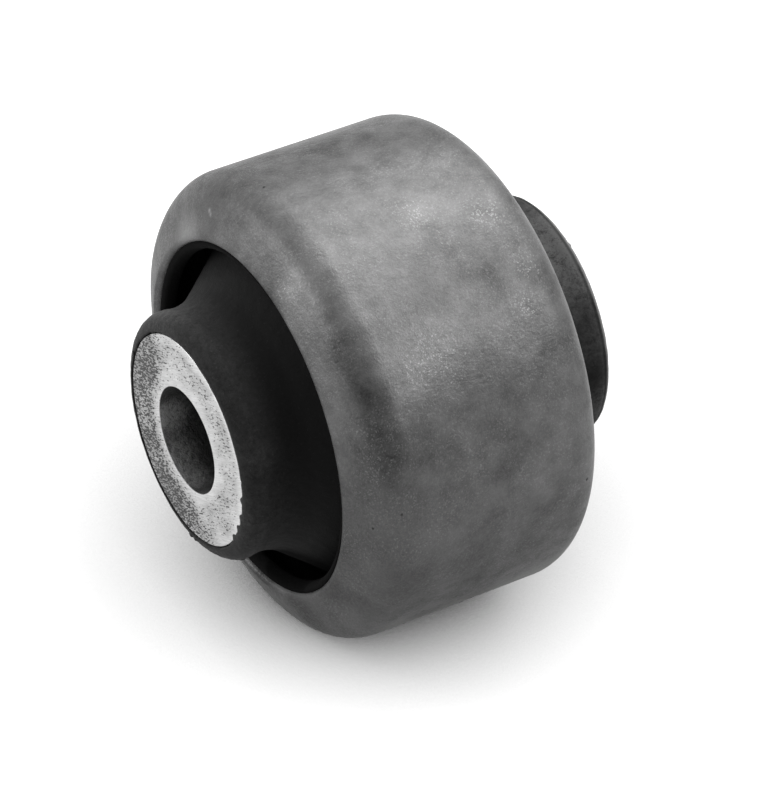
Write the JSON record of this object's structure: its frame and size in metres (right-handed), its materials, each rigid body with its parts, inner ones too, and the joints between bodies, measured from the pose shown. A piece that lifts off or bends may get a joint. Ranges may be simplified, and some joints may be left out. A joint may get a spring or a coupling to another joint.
{
  "type": "rubber metal bush",
  "caption": "Suspension bush: rubber moulded between a thick inner sleeve with a bolt bore and a steel outer sleeve whose ends are folded inwards.",
  "frame": {"origin": "on the bore's axis at mid-length", "axes": "+Z along the bore towards the end that faces the viewer in the picture; the two ends are alike, and X and Y are any two directions across the bore"},
  "size_m": [0.062, 0.062, 0.053],
  "materials": {
    "phosphated_steel": "matte grey phosphate coat, mottled",
    "black_rubber": "moulded, satin black",
    "sawn_steel": "bright end face with pits, dull bore"
  },
  "bodies": {
    "root": {"outer_sleeve": "phosphated_steel", "rubber_body": "black_rubber", "inner_sleeve": "sawn_steel"}
  },
  "joints": []
}
